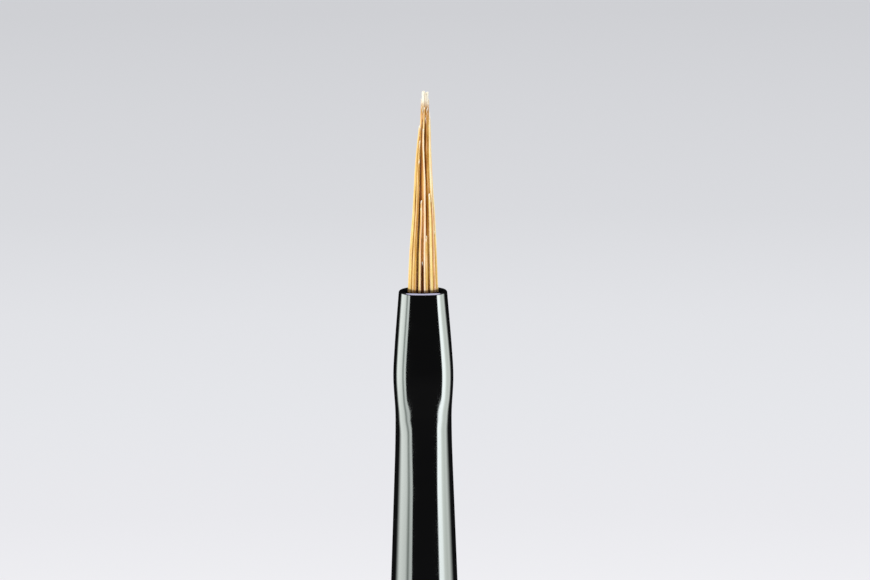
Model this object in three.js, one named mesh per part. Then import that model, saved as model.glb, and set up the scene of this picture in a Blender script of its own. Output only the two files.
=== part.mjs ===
// A fine detail brush for model making, in millimetres, standing point up along +Z.
// The origin is on the brush's axis at the fattest part of the handle, where fingers hold it.
//
// The brush is a tube, the ferrule, with a glued bundle of hair in its mouth and a wooden handle
// in its back. Everything round is turned about +Z. "Depth" is measured down from the ferrule's
// mouth, "height" is measured up from it, and "behind" is measured down from its back edge.

import * as THREE from "three";
import { mergeVertices } from "three/addons/utils/BufferGeometryUtils.js";

// ---- Driving dimensions ------------------------------------------------------------------

// Ferrule: a seamless metal tube, swaged in at the mouth and again behind the bound hair root.
const FERRULE_LENGTH = 25;
const FERRULE_WALL = 0.28;
const MOUTH_RADIUS = 1.208;
const MOUTH_TAPER = 0.075; // how fast the radius grows behind the mouth
const BULGE_DEPTH = 4.36; // from the mouth to the widest part of the bulge
const BULGE_CREST_LENGTH = 1.25; // the straight taper ends this far ahead of the bulge
const BULGE_CREST_HEIGHT = 0.0585;
const BULGE_TAPER = 0.066; // how fast the radius grows where the crest begins
const NECK_AFTER_BULGE = 2.1;
const NECK_DRAW = 0.098; // how far the tube is drawn in from the bulge to the neck
const CONE_AFTER_NECK = 2.6;
const CONE_FLARE = 0.0575; // how far it has opened again where the straight cone begins
const BACK_RADIUS = 2.042;
const BACK_EDGE_ROUNDING = 0.08;

// Crimps: rings rolled into the ferrule, which lock it on the handle.
const CRIMP_COUNT = 2;
const CRIMP_SETBACK = 3.4; // from the back edge to the first crimp's middle
const CRIMP_PITCH = 2.2;
const CRIMP_WIDTH = 1.3;
const CRIMP_DROP = 0.17;

// Hair: the tuft's outline above the mouth. It bends at the belly and again at the shoulder.
const TUFT_LENGTH = 10;
const TUFT_BELLY_HEIGHT = 5.6;
const TUFT_BELLY_RADIUS = 0.485;
const TUFT_SHOULDER_RADIUS = 0.24;
const TUFT_POINT_LENGTH = 0.8; // from the shoulder to the tip
const TUFT_POINT_RADIUS = 0.2; // the tip is cut off blunt, not drawn to a needle
const MOUTH_GAP = 0.14; // between the hair and the ferrule's bore at the mouth
const ROOT_SPREAD = 0.12; // how much wider the hair is packed at its root than at the mouth
const STRAND_GAP = 0.018; // between neighbouring strands, at the root
const STRAND_SIDES = 3;

// The tuft is laid up in three bundles of rings of strands, each ring with 6 more than the last.
// A bundle's hairs end short of the tuft's tip, by a distance between the two that it states.
const BUNDLES = [
  { name: "point_hairs", rings: 4, shortest: 0.5, longest: 0 },
  { name: "belly_hairs", rings: 3, shortest: 1.0, longest: 0.2 },
  { name: "outer_hairs", rings: 3, shortest: 1.8, longest: 0.6 },
];

// Root: the glued end of the hair, tied round with thread and cast into the ferrule's bulge.
const THREAD_DIAMETER = 0.12;
const THREAD_TURNS = 9;
const ROOT_ABOVE_THREAD = 1.1;
const ROOT_BELOW_THREAD = 1.2;
const ROOT_RIM = 0.04; // glue round the outermost strands
const GLUE_COVER = 0.1; // glue between the thread and the ferrule
const GLUE_TOP_SETBACK = 0.15; // the glue stops this far below the top of the root
const GLUE_BELOW_ROOT = 3.4;

// Handle: turned wood with a tenon that is glued into the back of the ferrule.
const HANDLE_LENGTH = 140; // what shows behind the ferrule
const GRIP_BEHIND_FERRULE = 22; // from the ferrule's back edge to the fattest part
const GRIP_RADIUS = 3.3;
const WAIST_BEHIND_GRIP = 46;
const WAIST_RADIUS = 2.55;
const TAIL_RADIUS = 1.3; // where the rounded tail begins
const TAIL_ROUNDING_LENGTH = 1.6;
const SHOULDER_PROUD = 0.04; // the lacquered shoulder stands this far proud of the ferrule
const SHOULDER_EDGE = 0.12;
const TENON_SHORT_OF_GLUE = 3; // air between the tenon's front and the root's glue
const TENON_NOSE = 0.6;
const HANDLE_GLUE_FILM = 0.1;
const HANDLE_GLUE_SETBACK = 0.5; // the film stops this far inside the back edge

const FIT = 0.02; // clearance between a piece and what it seats in or is cast round
const BUNDLE_SEAM = 0.01; // between one bundle's root and the next
const ROUND_SEGMENTS = 36;

// ---- Sizes that follow -------------------------------------------------------------------

const backEdge = GRIP_BEHIND_FERRULE;
const mouth = backEdge + FERRULE_LENGTH;
const atDepth = (depth) => mouth - depth;
const atBehind = (behind) => backEdge - behind;

const tuftMouthRadius = MOUTH_RADIUS - FERRULE_WALL - MOUTH_GAP;
const strandFieldRadius = tuftMouthRadius + ROOT_SPREAD;
const rootRadius = strandFieldRadius + ROOT_RIM;
const threadInnerRadius = rootRadius + FIT;
const threadOuterRadius = threadInnerRadius + THREAD_DIAMETER;
const threadPocketRadius = threadOuterRadius + FIT;
// The ferrule bulges because the bound root and its glue have to fit inside it.
const bulgeRadius = threadPocketRadius + GLUE_COVER + FIT + FERRULE_WALL;
const neckRadius = bulgeRadius - NECK_DRAW;
const coneStartRadius = neckRadius + CONE_FLARE;

const threadBand = THREAD_DIAMETER * THREAD_TURNS;
const threadTop = BULGE_DEPTH - threadBand / 2;
const threadEnd = BULGE_DEPTH + threadBand / 2;
const rootTop = threadTop - ROOT_ABOVE_THREAD;
const rootEnd = threadEnd + ROOT_BELOW_THREAD;
const glueTop = rootTop + GLUE_TOP_SETBACK;
const glueEnd = rootEnd + GLUE_BELOW_ROOT;
const neckDepth = BULGE_DEPTH + NECK_AFTER_BULGE;
const coneDepth = neckDepth + CONE_AFTER_NECK;
const tenonFront = glueEnd + TENON_SHORT_OF_GLUE;

// ---- Curves ------------------------------------------------------------------------------

// A smooth curve through stations of { at, value, slope }, as a function of at.
function throughStations(stations) {
  return (x) => {
    const last = stations.length - 2;
    let i = 0;
    while (i < last && x > stations[i + 1].at) i++;
    const [a, b] = [stations[i], stations[i + 1]];
    const span = b.at - a.at;
    const t = THREE.MathUtils.clamp((x - a.at) / span, 0, 1);
    const ease = t * t * (3 - 2 * t);
    const leave = t * (1 - t) * (1 - t) * a.slope * span;
    const arrive = t * t * (1 - t) * b.slope * span;
    return a.value + (b.value - a.value) * ease + leave - arrive;
  };
}

const crestDepth = BULGE_DEPTH - BULGE_CREST_LENGTH;
const coneSlope = (BACK_RADIUS - coneStartRadius) / (FERRULE_LENGTH - coneDepth);
const swagedRadius = throughStations([
  { at: 0, value: MOUTH_RADIUS, slope: MOUTH_TAPER },
  { at: crestDepth, value: bulgeRadius - BULGE_CREST_HEIGHT, slope: BULGE_TAPER },
  { at: BULGE_DEPTH, value: bulgeRadius, slope: 0 },
  { at: neckDepth, value: neckRadius, slope: 0 },
  { at: coneDepth, value: coneStartRadius, slope: coneSlope },
  { at: FERRULE_LENGTH, value: BACK_RADIUS, slope: coneSlope },
]);

const crimpDepths = Array.from(
  { length: CRIMP_COUNT },
  (_, i) => FERRULE_LENGTH - CRIMP_SETBACK - i * CRIMP_PITCH,
).reverse();

// How far the crimps press the tube's wall in at a depth.
function crimpAt(depth) {
  return crimpDepths.reduce((sum, middle) => {
    const share = Math.abs(depth - middle) / (CRIMP_WIDTH / 2);
    return sum + (share < 1 ? CRIMP_DROP * Math.cos((share * Math.PI) / 2) ** 2 : 0);
  }, 0);
}

const ferruleRadius = (depth) => swagedRadius(depth) - crimpAt(depth);
const boreRadius = (depth) => ferruleRadius(depth) - FERRULE_WALL;

const handleRadius = throughStations([
  { at: 0, value: BACK_RADIUS + SHOULDER_PROUD, slope: 0.03 },
  { at: GRIP_BEHIND_FERRULE, value: GRIP_RADIUS, slope: 0 },
  { at: GRIP_BEHIND_FERRULE + WAIST_BEHIND_GRIP, value: WAIST_RADIUS, slope: -0.02 },
  { at: HANDLE_LENGTH - TAIL_ROUNDING_LENGTH, value: TAIL_RADIUS, slope: -0.014 },
]);

const steps = (from, to, count) =>
  Array.from({ length: count + 1 }, (_, i) => from + ((to - from) * i) / count);

// Depths to sample the tube's wall at: close together where it curves, far apart on the cone.
function wallDepths(from, to) {
  const crest = steps(crestDepth, BULGE_DEPTH, 4);
  const neck = steps(BULGE_DEPTH, coneDepth, 10).slice(1);
  const crimped = crimpDepths.flatMap((middle) =>
    steps(middle - CRIMP_WIDTH / 2, middle + CRIMP_WIDTH / 2, 4),
  );
  const inside = [...crest, ...neck, ...crimped].filter((d) => d > from + 0.1 && d < to - 0.1);
  return [from, ...new Set(inside), to];
}

// ---- Turned pieces -----------------------------------------------------------------------

// A solid of revolution from [radius, z] points that run round the section's outline.
// LatheGeometry turns about +Y, so the result is stood up along +Z.
function turned(outline) {
  const points = outline.map(([radius, z]) => new THREE.Vector2(Math.max(radius, 0), z));
  const area = THREE.ShapeUtils.area(points);
  if (area < 0) points.reverse();
  const open = points[0].x < 1e-9 && points[points.length - 1].x < 1e-9;
  if (!open) points.push(points[0].clone());
  const lathe = new THREE.LatheGeometry(points, ROUND_SEGMENTS).rotateX(Math.PI / 2);
  return closed(lathe);
}

// The same surface with its seam and poles merged, so that it is one closed shell.
function closed(geometry) {
  geometry.deleteAttribute("normal");
  geometry.deleteAttribute("uv");
  const merged = mergeVertices(geometry, 1e-5);
  const index = merged.index.array;
  const kept = [];
  for (let i = 0; i < index.length; i += 3) {
    const [a, b, c] = [index[i], index[i + 1], index[i + 2]];
    if (a !== b && b !== c && c !== a) kept.push(a, b, c);
  }
  merged.setIndex(kept);
  merged.computeVertexNormals();
  return merged;
}

// The mouth's rolled lip is a half round as thick as the wall, and the back edge is eased.
function ferruleGeometry() {
  const lipRadius = FERRULE_WALL / 2;
  const lipMiddle = ferruleRadius(lipRadius) - lipRadius;
  const lip = steps(0, Math.PI, 6).map((angle) => [
    lipMiddle + lipRadius * Math.cos(angle),
    atDepth(lipRadius - lipRadius * Math.sin(angle)),
  ]);
  const outer = wallDepths(lipRadius, FERRULE_LENGTH - BACK_EDGE_ROUNDING);
  const outside = outer.slice(1).map((d) => [ferruleRadius(d), atDepth(d)]);
  const bore = wallDepths(lipRadius, FERRULE_LENGTH);
  const inside = bore.slice(1).map((d) => [boreRadius(d), atDepth(d)]);
  const eased = [BACK_RADIUS - BACK_EDGE_ROUNDING, atDepth(FERRULE_LENGTH)];
  return turned([...outside.reverse(), ...lip, ...inside, eased]);
}

// The glue is cast round the root and its thread: a cup with a groove where the thread lies.
function rootGlueGeometry() {
  const depths = [glueTop, ...wallDepths(glueTop, glueEnd).slice(1)];
  const outside = depths.map((d) => [boreRadius(d) - FIT, atDepth(d)]);
  const pocket = rootRadius + FIT;
  const pocketWall = [
    [pocket, atDepth(glueTop)],
    [pocket, atDepth(threadTop - FIT)],
    [threadPocketRadius, atDepth(threadTop - FIT)],
    [threadPocketRadius, atDepth(threadEnd + FIT)],
    [pocket, atDepth(threadEnd + FIT)],
    [pocket, atDepth(rootEnd + FIT)],
    [0, atDepth(rootEnd + FIT)],
  ];
  const meniscus = boreRadius(glueEnd) / 3;
  return turned([[0, atDepth(glueEnd - meniscus)], ...outside.reverse(), ...pocketWall]);
}

// The binding thread as a sleeve with one rib for each turn, lying side by side.
function rootThreadGeometry() {
  const ribs = steps(0, THREAD_TURNS, THREAD_TURNS * 2).map((turn, i) => [
    i % 2 ? threadOuterRadius : threadOuterRadius - THREAD_DIAMETER / 4,
    atDepth(threadTop + turn * THREAD_DIAMETER),
  ]);
  return turned([
    [threadInnerRadius, atDepth(threadTop)],
    ...ribs,
    [threadInnerRadius, atDepth(threadEnd)],
  ]);
}

const filmOuterRadius = (depth) => boreRadius(depth) - FIT;
const filmInnerRadius = (depth) => filmOuterRadius(depth) - HANDLE_GLUE_FILM;
const tenonRadius = (depth) => filmInnerRadius(depth) - FIT;

// The adhesive between the tenon and the ferrule is a sleeve that follows the crimps.
function handleGlueGeometry() {
  const depths = wallDepths(tenonFront + TENON_NOSE, FERRULE_LENGTH - HANDLE_GLUE_SETBACK);
  const outside = depths.map((d) => [filmOuterRadius(d), atDepth(d)]);
  const inside = depths.map((d) => [filmInnerRadius(d), atDepth(d)]);
  return turned([...outside.reverse(), ...inside]);
}

// The handle: a tenon pressed in by the crimps, a shoulder against the ferrule's back edge,
// a swell for the fingers and a long taper to a rounded tail.
function handleGeometry() {
  const noseStart = tenonFront + TENON_NOSE;
  const tenon = wallDepths(noseStart, FERRULE_LENGTH).map((d) => [tenonRadius(d), atDepth(d)]);
  const nose = [
    [0, atDepth(tenonFront)],
    [tenonRadius(noseStart) - TENON_NOSE / 2, atDepth(tenonFront)],
  ];
  const shoulderRadius = handleRadius(0);
  const shoulder = [
    [tenonRadius(FERRULE_LENGTH), atBehind(FIT)],
    [shoulderRadius - SHOULDER_EDGE, atBehind(FIT)],
    [shoulderRadius, atBehind(SHOULDER_EDGE)],
  ];
  const taperEnd = HANDLE_LENGTH - TAIL_ROUNDING_LENGTH;
  const swell = steps(0, GRIP_BEHIND_FERRULE, 6).slice(1);
  const taper = steps(GRIP_BEHIND_FERRULE, taperEnd, 10).slice(1);
  const body = [...swell, ...taper].map((b) => [handleRadius(b), atBehind(b)]);
  const tail = steps(0, Math.PI / 2, 5)
    .slice(1)
    .map((angle) => [
      TAIL_RADIUS * Math.cos(angle),
      atBehind(taperEnd + TAIL_ROUNDING_LENGTH * Math.sin(angle)),
    ]);
  return turned([...nose, ...tenon.slice(0, -1), ...shoulder, ...body, ...tail]);
}

// ---- Hair --------------------------------------------------------------------------------

// Every strand keeps its place in the tuft's section while the section shrinks towards the
// point, so the strands draw together without crossing. Below are the levels where they turn.
const tuftLevels = [
  { height: -rootTop, radius: strandFieldRadius },
  { height: TUFT_BELLY_HEIGHT, radius: TUFT_BELLY_RADIUS },
  { height: TUFT_LENGTH - TUFT_POINT_LENGTH, radius: TUFT_SHOULDER_RADIUS },
  { height: TUFT_LENGTH, radius: TUFT_POINT_RADIUS },
];
const strandRings = BUNDLES.reduce((sum, bundle) => sum + bundle.rings, 0);
const ringPitch = strandFieldRadius / (strandRings + 0.5);
const strandRadius = (ringPitch - STRAND_GAP) / 2;

// The scale of the tuft's section at a height, against its section at the root.
function sectionScale(height) {
  const above = tuftLevels.findIndex((level) => level.height >= height);
  const [a, b] = [tuftLevels[Math.max(above - 1, 0)], tuftLevels[above]];
  const t = a === b ? 0 : (height - a.height) / (b.height - a.height);
  return THREE.MathUtils.lerp(a.radius, b.radius, t) / strandFieldRadius;
}

// The strands of a bundle's rings. The golden ratio spreads their ends and turns evenly.
function strandsOf({ shortest, longest }, ringsInside, lastRing) {
  const golden = (Math.sqrt(5) - 1) / 2;
  const strands = [];
  const firstRing = ringsInside && ringsInside + 1;
  for (let ring = firstRing; ring <= lastRing; ring++) {
    const count = Math.max(6 * ring, 1);
    for (let i = 0; i < count; i++) {
      const around = ((i + ring * golden) / count) * 2 * Math.PI;
      const spread = ((strands.length + 1) * golden) % 1;
      strands.push({
        x: ring * ringPitch * Math.cos(around),
        y: ring * ringPitch * Math.sin(around),
        turn: spread,
        tip: TUFT_LENGTH - THREE.MathUtils.lerp(shortest, longest, spread),
      });
    }
  }
  // The middle hair runs the tuft's full length.
  if (firstRing === 0) strands[0].tip = TUFT_LENGTH;
  return strands;
}

// A strand's corners at a height. It thins with the tuft.
function strandSection(strand, height) {
  const scale = sectionScale(height);
  return Array.from({ length: STRAND_SIDES }, (_, i) => {
    const angle = (strand.turn + i / STRAND_SIDES) * 2 * Math.PI;
    return new THREE.Vector3(
      (strand.x + strandRadius * Math.cos(angle)) * scale,
      (strand.y + strandRadius * Math.sin(angle)) * scale,
      mouth + height,
    );
  });
}

function ringOf(radius, z) {
  return Array.from({ length: ROUND_SEGMENTS }, (_, i) => {
    const angle = (i / ROUND_SEGMENTS) * 2 * Math.PI;
    return new THREE.Vector3(radius * Math.cos(angle), radius * Math.sin(angle), z);
  });
}

// A bundle is one closed shell: a slice of glued root, whose top face is pierced by the strands
// that rise out of it. The strands share their first corners with that face.
function bundleGeometry(bundle, ringsInside) {
  const lastRing = ringsInside + bundle.rings;
  const strands = strandsOf(bundle, ringsInside, lastRing);
  const hollow = ringsInside > 0;
  const outermost = lastRing === strandRings;
  const outerRadius = outermost ? rootRadius : (lastRing + 0.5) * ringPitch - BUNDLE_SEAM / 2;
  const innerRadius = (ringsInside + 0.5) * ringPitch + BUNDLE_SEAM / 2;
  const [top, bottom] = [atDepth(rootTop), atDepth(rootEnd)];
  const position = [];
  const triangle = (...corners) => corners.forEach((p) => position.push(p.x, p.y, p.z));

  // Joins two rings of corners, counter-clockwise seen from above, with a wall facing out.
  const wall = (lower, upper) =>
    lower.forEach((p, i) => {
      const j = (i + 1) % lower.length;
      triangle(p, lower[j], upper[j]);
      triangle(p, upper[j], upper[i]);
    });

  // Fills a flat outline with holes in it, facing up or down.
  const fill = (outline, holes, up) => {
    const flat = (ring) => ring.map((p) => new THREE.Vector2(p.x, p.y));
    const corners = [...outline, ...holes.flat()];
    for (const [a, b, c] of THREE.ShapeUtils.triangulateShape(flat(outline), holes.map(flat))) {
      const counterClockwise = THREE.ShapeUtils.area(flat([corners[a], corners[b], corners[c]])) > 0;
      if (counterClockwise === up) triangle(corners[a], corners[b], corners[c]);
      else triangle(corners[a], corners[c], corners[b]);
    }
  };

  const roots = strands.map((strand) => strandSection(strand, -rootTop));
  const bores = hollow ? [ringOf(innerRadius, top), ringOf(innerRadius, bottom)] : [];
  fill(ringOf(outerRadius, top), [...bores.slice(0, 1), ...roots], true);
  fill(ringOf(outerRadius, bottom), bores.slice(1), false);
  wall(ringOf(outerRadius, bottom), ringOf(outerRadius, top));
  if (hollow) wall(bores[1].slice().reverse(), bores[0].slice().reverse());

  strands.forEach((strand, s) => {
    const turns = tuftLevels.slice(1).map((level) => level.height);
    const below = turns.filter((height) => height < strand.tip - 0.01);
    let section = roots[s];
    for (const height of below) {
      const next = strandSection(strand, height);
      wall(section, next);
      section = next;
    }
    const scale = sectionScale(strand.tip);
    const tip = new THREE.Vector3(strand.x * scale, strand.y * scale, mouth + strand.tip);
    section.forEach((p, i) => triangle(p, section[(i + 1) % section.length], tip));
  });

  const attribute = new THREE.Float32BufferAttribute(position, 3);
  return closed(new THREE.BufferGeometry().setAttribute("position", attribute));
}

// ---- Materials ---------------------------------------------------------------------------

const finish = (color, roughness, metalness = 0) =>
  new THREE.MeshStandardMaterial({ color, roughness, metalness });

const hairFinish = finish(0xc0884a, 0.45);
const ferruleFinish = finish(0x1e1e1f, 0.1, 1);
const handleFinish = finish(0x0a0a0c, 0.15);
const threadFinish = finish(0xd8d0be, 0.85);
const rootGlueFinish = finish(0x6b3f1a, 0.35);
const handleGlueFinish = finish(0xc9a765, 0.4);

// ---- Assembly ----------------------------------------------------------------------------

const brush = new THREE.Group();

function add(name, geometry, material) {
  const mesh = new THREE.Mesh(geometry, material);
  mesh.name = name;
  brush.add(mesh);
}

let ringsInside = 0;
for (const bundle of BUNDLES) {
  add(bundle.name, bundleGeometry(bundle, ringsInside), hairFinish);
  ringsInside += bundle.rings;
}
add("root_thread", rootThreadGeometry(), threadFinish);
add("root_glue", rootGlueGeometry(), rootGlueFinish);
add("ferrule", ferruleGeometry(), ferruleFinish);
add("handle_glue", handleGlueGeometry(), handleGlueFinish);
add("handle", handleGeometry(), handleFinish);

export default brush;
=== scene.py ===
# %% [markdown]
# # Dressing a fine detail brush
#
# The brush is a tapered tuft of golden hair in a swaged metal ferrule, on a long lacquered handle.
# The CAD model gives every piece its real size and place. This lesson gives each the shape and the
# finish that a close look shows, without moving anything. Lengths are in millimetres, as a brush
# maker writes them, and `MM` turns them into metres. "Depth" is measured down from the ferrule's
# mouth.

# %% The frame
import math
import random
from functools import partialmethod

import bmesh
import bpy
from mathutils import Matrix, Vector


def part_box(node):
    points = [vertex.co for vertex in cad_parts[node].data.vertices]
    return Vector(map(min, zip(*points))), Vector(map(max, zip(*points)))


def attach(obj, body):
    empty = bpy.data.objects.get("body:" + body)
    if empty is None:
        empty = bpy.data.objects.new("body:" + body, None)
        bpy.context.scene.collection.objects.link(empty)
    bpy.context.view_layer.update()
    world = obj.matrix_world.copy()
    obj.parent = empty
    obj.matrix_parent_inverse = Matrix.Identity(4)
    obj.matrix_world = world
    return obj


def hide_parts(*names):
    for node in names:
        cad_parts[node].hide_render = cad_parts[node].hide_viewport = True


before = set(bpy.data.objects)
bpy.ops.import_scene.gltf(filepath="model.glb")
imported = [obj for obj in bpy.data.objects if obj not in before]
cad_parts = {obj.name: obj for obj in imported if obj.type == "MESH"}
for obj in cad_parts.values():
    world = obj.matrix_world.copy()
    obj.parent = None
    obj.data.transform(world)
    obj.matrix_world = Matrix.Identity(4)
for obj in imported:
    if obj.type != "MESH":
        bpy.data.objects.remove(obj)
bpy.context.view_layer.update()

MM = 0.001
mouth_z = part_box("ferrule")[1].z / MM
ferrule_back_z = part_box("ferrule")[0].z / MM
tuft_tip_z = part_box("point_hairs")[1].z / MM
tail_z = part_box("handle")[0].z / MM
print(f"mouth {mouth_z:.2f}, ferrule back {ferrule_back_z:.2f}, tip {tuft_tip_z:.2f}, tail {tail_z:.2f} mm")

# %% [markdown]
# ## Writing node trees as sums
#
# A material and a Geometry Nodes tree are both graphs of small nodes, and are hard to read when
# they are wired one by one in code. Two small classes help: a `Wire` is a node's output, and
# ordinary arithmetic on it adds the Math node that does the sum. A `Graph` adds any other node in
# one call, which names the node, its settings and what goes into its sockets.

# %% Wires


class Wire:
    """A node's output. Arithmetic on it adds a Math node to its graph."""

    def __init__(self, graph, node, output):
        self.graph = graph
        self.node = node
        self.socket = output

    def out(self, name):
        return Wire(self.graph, self.node, self.node.outputs[name])

    def math(self, operation, *terms):
        return self.graph.add("ShaderNodeMath", {"operation": operation}, dict(enumerate(terms)))

    def apply(self, operation, *others):
        return self.math(operation, self, *others)

    def __rsub__(self, other):
        return self.math("SUBTRACT", other, self)

    __add__ = __radd__ = partialmethod(apply, "ADD")
    __mul__ = __rmul__ = partialmethod(apply, "MULTIPLY")
    __sub__ = partialmethod(apply, "SUBTRACT")
    __truediv__ = partialmethod(apply, "DIVIDE")
    __mod__ = partialmethod(apply, "FLOORED_MODULO")
    __pow__ = partialmethod(apply, "POWER")


# %% Graphs


class Graph:
    """A node tree being written."""

    def __init__(self, tree):
        self.tree = tree

    def add(self, kind, settings=None, inputs=None, output=None):
        """Adds a node. Its settings come first, because they decide which sockets are in use."""
        node = self.tree.nodes.new(kind)
        for name, value in (settings or {}).items():
            if name == "stops":
                self.set_stops(node.color_ramp, value)
            else:
                setattr(node, name, value)
        for name, value in (inputs or {}).items():
            socket = self.find(node.inputs, name)
            if isinstance(value, Wire):
                self.tree.links.new(value.socket, socket)
            else:
                socket.default_value = value
        if output is not None:
            return Wire(self, node, self.find(node.outputs, output))
        usable = [s for s in node.outputs if s.enabled]
        return Wire(self, node, usable[0] if usable else None)

    @staticmethod
    def find(sockets, name):
        if isinstance(name, int):
            return sockets[name]
        usable = [s for s in sockets if s.enabled and name in (s.name, s.identifier)]
        return usable[0] if usable else sockets[name]

    @staticmethod
    def set_stops(ramp, stops):
        while len(ramp.elements) < len(stops):
            ramp.elements.new(1)
        for element, (place, colour) in zip(ramp.elements, stops):
            element.position = place
            element.color = (*colour, 1)

    def vector(self, **parts):
        return self.add("ShaderNodeCombineXYZ", inputs=parts)

    def parts(self, vector):
        split = self.add("ShaderNodeSeparateXYZ", inputs={"Vector": vector})
        return [split.out(axis) for axis in "XYZ"]

    def between(self, value, low, high, to_low=0.0, to_high=1.0):
        """Goes gently from one level to another while the value goes from low to high."""
        inputs = {"Value": value, "From Min": low, "From Max": high, "To Min": to_low, "To Max": to_high}
        return self.add("ShaderNodeMapRange", {"interpolation_type": "SMOOTHSTEP"}, inputs, 0)


# %% [markdown]
# ## The camera
#
# The photograph looks at the ferrule's mouth from 9 degrees above it, through a long lens: the
# ferrule's sides hardly converge. The frame is 43.5 mm wide there, and the brush stands a little
# left of its middle and leans by a quarter of a degree. A camera can be nudged until the picture
# fits. Here it is placed by the pixel where the mouth lies, so each number is one that can be
# measured in the photograph.

# %% Camera
PHOTO_SIZE = (870, 580)
MOUTH_PIXEL = (422.95, 289.8)
FRAME_WIDTH = 43.5
LENS = 200
SENSOR = 36
NEAREST, FARTHEST = 0.01, 20
CAMERA_ELEVATION = math.radians(8.8)
CAMERA_ROLL = math.radians(-0.25)


def make_camera():
    distance = FRAME_WIDTH * LENS / SENSOR
    pixel = FRAME_WIDTH / PHOTO_SIZE[0]
    tilt = Matrix.Rotation(math.pi / 2 - CAMERA_ELEVATION, 4, "X")
    turn = tilt @ Matrix.Rotation(CAMERA_ROLL, 4, "Z")
    right_of_mouth = (PHOTO_SIZE[0] / 2 - MOUTH_PIXEL[0]) * pixel
    above_mouth = (MOUTH_PIXEL[1] - PHOTO_SIZE[1] / 2) * pixel
    place = Vector((0, 0, mouth_z)) + turn @ Vector((right_of_mouth, above_mouth, distance))
    data = bpy.data.cameras.new("camera")
    data.lens = LENS
    data.sensor_width = SENSOR
    data.clip_start = NEAREST
    data.clip_end = FARTHEST
    camera = bpy.data.objects.new("camera", data)
    camera.matrix_world = Matrix.Translation(place * MM) @ turn
    bpy.context.scene.collection.objects.link(camera)
    bpy.context.scene.camera = camera
    return camera


camera = make_camera()
print("camera at", [round(c, 3) for c in camera.location], "m")

# %% [markdown]
# ## Growing a mesh from a node tree
#
# Round pieces follow a profile turned about the axis, and hairs and thread follow a path. Python
# loops could place every corner, but Geometry Nodes state such a rule once, with named inputs. The
# result is kept as a plain mesh, so that nothing depends on the modifier any more.

# %% Geometry Nodes helpers


class Rule(Graph):
    """A Geometry Nodes tree being written, which takes named inputs."""

    def __init__(self, name, inputs):
        super().__init__(bpy.data.node_groups.new(name, "GeometryNodeTree"))
        for label, kind in {"Geometry": "Geometry", **inputs}.items():
            self.tree.interface.new_socket(label, in_out="INPUT", socket_type=f"NodeSocket{kind}")
        self.tree.interface.new_socket("Geometry", in_out="OUTPUT", socket_type="NodeSocketGeometry")
        self.take = self.add("NodeGroupInput").out

    def sweep(self, path, sides, radius, **more):
        """A closed tube round each path."""
        circle = {"Resolution": sides, "Radius": radius}
        section = self.add("GeometryNodeCurvePrimitiveCircle", inputs=circle)
        inputs = {"Curve": path, "Profile Curve": section, "Fill Caps": True, **more}
        return self.add("GeometryNodeCurveToMesh", inputs=inputs)

    def finish(self, geometry):
        """Ends the tree with smooth, realised geometry that carries its material."""
        smooth = self.add("GeometryNodeSetShadeSmooth", inputs={"Geometry": geometry})
        real = self.add("GeometryNodeRealizeInstances", inputs={"Geometry": smooth})
        inputs = {"Geometry": real, "Material": self.take("Material")}
        self.add("NodeGroupOutput", inputs={"Geometry": self.add("GeometryNodeSetMaterial", inputs=inputs)})
        print(f"rule {self.tree.name}: {len(self.tree.nodes)} nodes")
        return self.tree


def grow(name, tree, points, values, columns=None):
    """Runs a tree on a mesh of points, with their attributes, and keeps the plain mesh it makes."""
    seed = bpy.data.meshes.new(name)
    seed.from_pydata(points, [], [])
    for label, numbers in (columns or {}).items():
        seed.attributes.new(label, "FLOAT", "POINT").data.foreach_set("value", numbers)
    piece = bpy.data.objects.new(name, seed)
    bpy.context.scene.collection.objects.link(piece)
    modifier = piece.modifiers.new("rule", "NODES")
    modifier.node_group = tree
    for item in tree.interface.items_tree:
        if item.in_out == "INPUT" and item.name in values:
            modifier[item.identifier] = values[item.name]
    grown = piece.evaluated_get(bpy.context.evaluated_depsgraph_get())
    mesh = bpy.data.meshes.new_from_object(grown)
    piece.modifiers.remove(modifier)
    piece.data = mesh
    mesh.name = name
    face_out(mesh)
    print(f"{name}: {len(mesh.vertices)} corners, {len(mesh.polygons)} faces")
    return piece


def face_out(mesh):
    """Turns every face of closed shells outwards."""
    shells = bmesh.new()
    shells.from_mesh(mesh)
    bmesh.ops.recalc_face_normals(shells, faces=shells.faces)
    shells.to_mesh(mesh)
    shells.free()


# %% [markdown]
# ## Turning on a lathe
#
# The ferrule and the handle are turned, so each is one outline swept round the axis. A Screw
# modifier would do, but a tree can also weld the piece and give it its material. It lays a flat
# grid, one row for each point of the outline, and bends it: each row takes its point's radius and
# height, and each column its angle. Then it welds the seam and the poles.

# %% The lathe
WELD_DISTANCE = 0.0005
LATHE_SIDES = 128


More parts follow.
